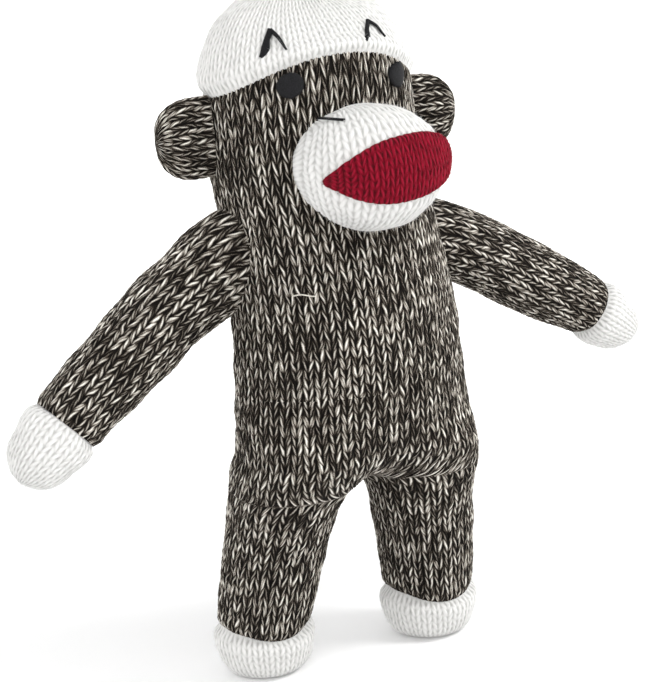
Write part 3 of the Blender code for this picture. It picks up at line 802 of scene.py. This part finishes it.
def disc_grid(columns, rows):
    """A square grid pressed into a round disc, so that its columns stay upright and even."""
    a, b = np.meshgrid(np.linspace(-1, 1, columns), np.linspace(-1, 1, rows))
    return a * np.sqrt(1 - b * b / 2), b * np.sqrt(1 - a * a / 2)


MUZZLE_WALES, MUZZLE_COURSES = 15, 17
MUZZLE_BACK = 0.010                   # how far the dome's side wall runs back into the head
MUZZLE_ACROSS, MUZZLE_UP = 12, 9       # grid cells in one stitch of the muzzle
px, pz = disc_grid(MUZZLE_WALES * MUZZLE_ACROSS + 1, MUZZLE_COURSES * MUZZLE_UP + 1)
rim = np.sqrt(np.clip(px ** 2 + pz ** 2, 0, 1))
bend_in = np.sin(rim * pi / 2) / np.maximum(rim, 1e-6)
bend_in = np.where(rim < 1e-5, pi / 2, bend_in)
x = MUZZLE_SIZE[0] * px * bend_in
z = MUZZLE_CENTRE[2] + MUZZLE_SIZE[2] * pz * bend_in
depth = np.clip(np.cos(rim * pi / 2), 0, 1) ** (2 / DOME_DEPTH)
base = np.stack([x, MUZZLE_CENTRE[1] - MUZZLE_SIZE[1] * depth, z], axis=-1)
back = np.clip((rim - 0.93) / 0.07, 0, 1)
base[..., 1] += MUZZLE_BACK * back
base[..., 0] *= 1 - 0.10 * back
base[..., 2] += (MUZZLE_CENTRE[2] - base[..., 2]) * 0.10 * back
normals = grid_normals(base, False)
u, v = np.arange(base.shape[1]) / MUZZLE_ACROSS, np.arange(base.shape[0]) / MUZZLE_UP
points = knit(base, normals, u, v, WHITE_RELIEF)
muzzle_skin = add_mesh("muzzle_skin", points, normals, u, v, WHITE)
finish_piece(muzzle_skin, ["muzzle_cover", "muzzle_stuffing"], body="head")
fuzz("muzzle_fuzz", points, normals, 4500, FLUFF, "head")

LIP_TILT = 0.100                      # the lips sit slightly lower on the toy's right
LIP_WALES, LIP_COURSES, LIP_CELLS = 16, 7, 8
columns, rows = LIP_WALES * LIP_CELLS + 1, LIP_COURSES * LIP_CELLS + 1
across = np.linspace(-1, 1, columns)
serrate = 0.020 * np.abs(np.sin(across * LIP_WALES * pi / 2))
half = LIP_HEIGHT / 2 * (np.clip(1 - np.abs(across) ** 2.5, 0.012, 1) ** 0.80 + serrate)
j = np.linspace(-1, 1, rows)[:, None]
x = np.repeat((LIP_WIDTH / 2 * across)[None, :], rows, axis=0)
z = LIP_Z - 0.0006 + half[None, :] * j + LIP_TILT * x
base = dome_point(x, z)
normals = grid_normals(base, False)
edge = np.clip(np.minimum((1 - np.abs(j)) / 0.16, (1 - np.abs(across))[None, :] / 0.04), 0, 1)
thick = 0.0002 + 0.0013 * np.sqrt(edge)
u, v = np.arange(columns) / LIP_CELLS, np.arange(rows) / LIP_CELLS
iu, iv = np.meshgrid(u, v)
points = base + normals * (thick + lumps(base) + 0.0002)[..., None]
points += normals * (RED_RELIEF * 1.4 * stitch(iu, iv)[0] * edge)[..., None]
lip_skin = add_mesh("lip_skin", points, normals, u, v, RED)
finish_piece(lip_skin, ["lip_patch"], body="head")
fuzz("lip_fuzz", points, normals, 2600, RED_FLUFF, "head")


def front_of_head(x, z):
    """A point on the head's or crown's front, and its outward normal."""
    def touch(x, z):
        if z < BRIM_Z + BRIM_ARCH * (1 - (x / TRUNK[-1, 1]) ** 2):
            wide, deep, middle = curve(TRUNK, np.array(min(z, BRIM_Z)))
            return np.array([x, middle - deep * sqrt(max(1 - (x / wide) ** 2, 0.0)), z])
        share = 0.5
        for _ in range(40):
            wide, deep = crown_size(share)
            facing = max(1 - (x / wide) ** 2, 0.0)
            lifted = z - BRIM_Z - BRIM_ARCH * (1 - share) ** 1.5 * facing
            share = min(max(share + 0.5 * (lifted / (HEIGHT - BRIM_Z) - share), 0.0), 0.98)
        return np.array([x, -deep * sqrt(facing), z])
    here, step = touch(x, z), 0.0008
    normal = np.cross(touch(x + step, z) - touch(x - step, z), touch(x, z + step) - touch(x, z - step))
    normal /= np.linalg.norm(normal)
    return here + normal * (lumps(here) + 0.0002), normal


def thread(name, strands, material):
    """Strands of thread: each is a list of (point, radius), swept as a tube with closed ends."""
    verts, faces, sides = [], [], 8
    for strand in strands:
        path = np.array([p for p, _ in strand])
        along = np.gradient(path, axis=0)
        along /= np.linalg.norm(along, axis=1, keepdims=True)
        helper = np.array([0.13, -0.97, 0.2])
        base = len(verts)
        for (place, radius), way in zip(strand, along):
            first = np.cross(way, helper)
            first /= np.linalg.norm(first)
            second = np.cross(way, first)
            for k in range(sides):
                angle = 2 * pi * k / sides
                verts.append(place + radius * (cos(angle) * first + sin(angle) * second) + AXIS)
        count = len(strand)
        for i in range(count - 1):
            for k in range(sides):
                n = (k + 1) % sides
                faces.append([base + i * sides + k, base + i * sides + n,
                              base + (i + 1) * sides + n, base + (i + 1) * sides + k])
        faces.append([base + k for k in reversed(range(sides))])
        faces.append([base + (count - 1) * sides + k for k in range(sides)])
    mesh = bpy.data.meshes.new(name)
    mesh.from_pydata([tuple(p) for p in verts], [], faces)
    mesh.polygons.foreach_set("use_smooth", [True] * len(mesh.polygons))
    return link(name, mesh, material)


def satin(width, stitches, lift, radius):
    """Strands side by side along a stroke. width gives (centre x, centre z, half width) at a share of it."""
    strands = []
    for k in range(stitches):
        share = k / (stitches - 1)
        cx, cz, half, tilt = width(share)
        if half < 1e-5:
            continue
        strand = []
        for t in np.linspace(-1, 1, 9):
            x, z = cx + cos(tilt) * half * t, cz + sin(tilt) * half * t
            here, normal = front_of_head(x, z)
            strand.append((here + normal * (lift * sqrt(max(1 - t * t * 0.96, 0.0)) + 0.0002), radius))
        strands.append(strand)
    return strands


for side, name in ((1, "left"), (-1, "right")):
    def eye(share, side=side):
        up = -1 + 2 * share
        return side * EYE_X, EYE_Z + EYE_RADIUS * up * 0.98, EYE_RADIUS * sqrt(max(1 - up * up, 0.02)), 0.08
    made = thread(f"eye_{name}_stitches", satin(eye, 21, 0.0013, 0.00036), BLACK)
    finish_piece(made, [f"eye_{name}"], body="head")


def stroke(points, widths):
    """A satin stroke along (x, z) points, with its half width at each."""
    line, widths = np.array(points), np.array(widths)
    at = np.linspace(0, 1, len(line))

    def width(share):
        x, z = (np.interp(share, at, line[:, k]) for k in (0, 1))
        ahead, behind = min(share + 0.02, 1), max(share - 0.02, 0)
        dx, dz = (np.interp(ahead, at, line[:, k]) - np.interp(behind, at, line[:, k]) for k in (0, 1))
        return x, z, np.interp(share, at, widths), np.arctan2(dz, dx) + pi / 2
    return width


# Each brow is two strokes that meet in a peak: (x, z) points from its middle, half widths, stitches
BROWS = {
    1: [([(-0.0062, -0.0026), (-0.0044, -0.0010), (-0.0034, 0.0010), (-0.0012, 0.0034)],
         [0.0004, 0.0009, 0.0006, 0.0006], 26),
        ([(-0.0012, 0.0034), (0.0012, 0.0014), (0.0028, -0.0020)], [0.0005, 0.0004, 0.0002], 22)],
    -1: [([(-0.0077, -0.0046), (-0.0057, -0.0018), (-0.0044, 0.0010), (-0.0022, 0.0040)],
          [0.0004, 0.0010, 0.0007, 0.0007], 26),
         ([(-0.0022, 0.0040), (-0.0012, 0.0014), (-0.0004, -0.0028)], [0.0006, 0.0005, 0.0002], 22)]}
for side, name in ((1, "left"), (-1, "right")):
    strands = []
    for line, widths, count in BROWS[side]:
        line = [(side * BROW_X[side] + dx, BROW_Z + dz) for dx, dz in line]
        strands += satin(stroke(line, widths), count, 0.0006, 0.00022)
    made = thread(f"eyebrow_{name}_stitches", strands, BLACK)
    finish_piece(made, [f"eyebrow_{name}"], body="head")

nostril = []
for lane in (-0.00016, 0.00016):
    strand = []
    for t in np.linspace(-1, 1, 11):
        x, z = NOSTRIL_X + lane * 2 + 0.0013 * t, NOSTRIL_Z + lane - 0.0003 * t
        strand.append((dome_point(np.array(x), np.array(z), 0.0003)
                       - Y * 0.0003 * sqrt(max(1 - t * t, 0.0)), 0.00024))
    nostril.append(strand)
made = thread("nostril_thread", nostril, BLACK)
finish_piece(made, ["nostril_stitch"], body="head")

# A short end of pale yarn lies across the chest
strand = []
for t in np.linspace(0, 1, 15):
    x, z = -0.0290 + 0.0062 * t, 0.1438 + 0.0004 * sin(t * 5)
    wide, deep, middle = curve(TRUNK, np.array(z))
    here = np.array([x, middle - deep * sqrt(1 - (x / wide) ** 2), z])
    lift = lumps(here) + 0.0003 + 0.0002 * sin(t * pi)
    strand.append((here + lift * np.array([x / wide, -1, 0]), 0.00022))
finish_piece(thread("chest_yarn_end", [strand], CREAM), [], body="torso")

# ---------------------------------------------------------------- floor, light and camera
PAPER, tree, glow = new_material("paper")
glow.inputs["Base Color"].default_value = (0.90, 0.90, 0.90, 1)
glow.inputs["Roughness"].default_value = 0.9
glow.inputs["Specular IOR Level"].default_value = 0.1
glow.inputs["Emission Color"].default_value = (1, 1, 1, 1)
# The paper glows, painted light that is faint near the toy and brighter away from it, so that its shadow
# shows on the floor and the wall stays white
place = tree.nodes.new("ShaderNodeTexCoord").outputs["Object"]
reach = tree.nodes.new("ShaderNodeVectorMath")
reach.operation = "LENGTH"
tree.links.new(place, reach.inputs[0])
far = unit(Wire(tree, reach.outputs["Value"]) * 1.5 - 0.2) * 0.42 + 0.06
tree.links.new(far.socket, glow.inputs["Emission Strength"])
profile = [(0.02, 0.0), (0.6, 0.0), (1.6, 0.0)]
profile += [(1.6 + 0.8 * sin(t), 0.8 - 0.8 * cos(t)) for t in np.linspace(0, pi / 2, 16)[1:]] + [(2.4, 3.6)]
TURNS, count = 96, len(profile)
verts = [(r * cos(2 * pi * k / TURNS), r * sin(2 * pi * k / TURNS), z)
         for k in range(TURNS) for r, z in profile]
faces = [(k * count + i, k * count + i + 1, (k + 1) % TURNS * count + i + 1, (k + 1) % TURNS * count + i)
         for k in range(TURNS) for i in range(count - 1)]
faces.append([k * count for k in range(TURNS)])
sweep = bpy.data.meshes.new("backdrop")
sweep.from_pydata(verts, [], faces)
sweep.polygons.foreach_set("use_smooth", [True] * len(sweep.polygons))
link("backdrop", sweep, PAPER)


def area_light(name, place, target, size, power):
    data = bpy.data.lights.new(name, "AREA")
    data.shape, data.size, data.energy = "DISK", size, power
    made = bpy.data.objects.new(name, data)
    made.location = place
    made.rotation_euler = (Vector(target) - Vector(place)).to_track_quat("-Z", "Y").to_euler()
    bpy.context.scene.collection.objects.link(made)


area_light("key", (0.85, -0.75, 1.35), (0, 0, 0.12), 0.5, 13.5)
area_light("fill", (-1.5, -1.0, 0.7), (0, 0, 0.12), 1.4, 1.0)
area_light("top", (0.2, 0.2, 3.2), (0, 0, 0), 2.6, 5.5)
world = bpy.data.worlds.new("studio")
bpy.context.scene.world = world
world.use_nodes = True
world.node_tree.nodes["Background"].inputs["Color"].default_value = (1, 1, 1, 1)
world.node_tree.nodes["Background"].inputs["Strength"].default_value = 0.13

bpy.context.scene.view_settings.view_transform = "Standard"
AZIMUTH, ELEVATION, ROLL = radians(-25.87), radians(10.87), radians(-4.84)
DISTANCE, TARGET = 0.5617, Vector(AXIS) + Vector((0.0, -0.0027, 0.128))
SENSOR, LENS = 24, 54.8868            # in millimetres
SHIFT_X, SHIFT_Y = -0.012610, -0.036217
back = Vector((sin(AZIMUTH) * cos(ELEVATION), -cos(AZIMUTH) * cos(ELEVATION), sin(ELEVATION)))
right = (-back).cross(Vector((0, 0, 1))).normalized()
upward = right.cross(-back)
rolled = cos(ROLL) * right + sin(ROLL) * upward
rolled_up = -sin(ROLL) * right + cos(ROLL) * upward
data = bpy.data.cameras.new("camera")
data.sensor_fit, data.sensor_height = "VERTICAL", SENSOR
data.lens = LENS
data.shift_x, data.shift_y = SHIFT_X, SHIFT_Y
data.clip_start = 0.01
camera = bpy.data.objects.new("camera", data)
basis = Matrix((rolled, rolled_up, back)).transposed().to_4x4()
basis.translation = TARGET + back * DISTANCE
camera.matrix_world = basis
bpy.context.scene.collection.objects.link(camera)
bpy.context.scene.camera = camera
